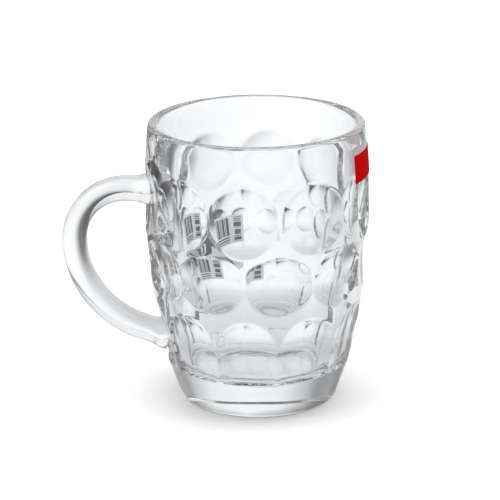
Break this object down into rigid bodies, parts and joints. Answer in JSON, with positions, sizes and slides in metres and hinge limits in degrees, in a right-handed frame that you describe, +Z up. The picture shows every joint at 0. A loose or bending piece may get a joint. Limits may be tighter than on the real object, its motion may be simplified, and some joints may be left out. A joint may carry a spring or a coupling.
{
  "type": "beer mug",
  "caption": "Pressed glass beer mug with three staggered rows of round dimples, a thick plain foot and a C-shaped glass handle.",
  "frame": {"origin": "on the bowl's axis, in the plane that the mug stands on", "axes": "+Z up along the bowl's axis, -X from the axis towards the handle, +Y to the handle's other side"},
  "size_m": [0.1374, 0.0986, 0.126],
  "materials": {
    "glass": "clear pressed soda-lime glass, fire-polished",
    "red_paper": "plain glossy red sticker paper",
    "white_paper": "plain satin white sticker paper with made-up dark bars"
  },
  "bodies": {
    "root": {"glass_body": "glass", "handle": "glass", "front_sticker": "red_paper", "stock_sticker": "white_paper"}
  },
  "joints": []
}
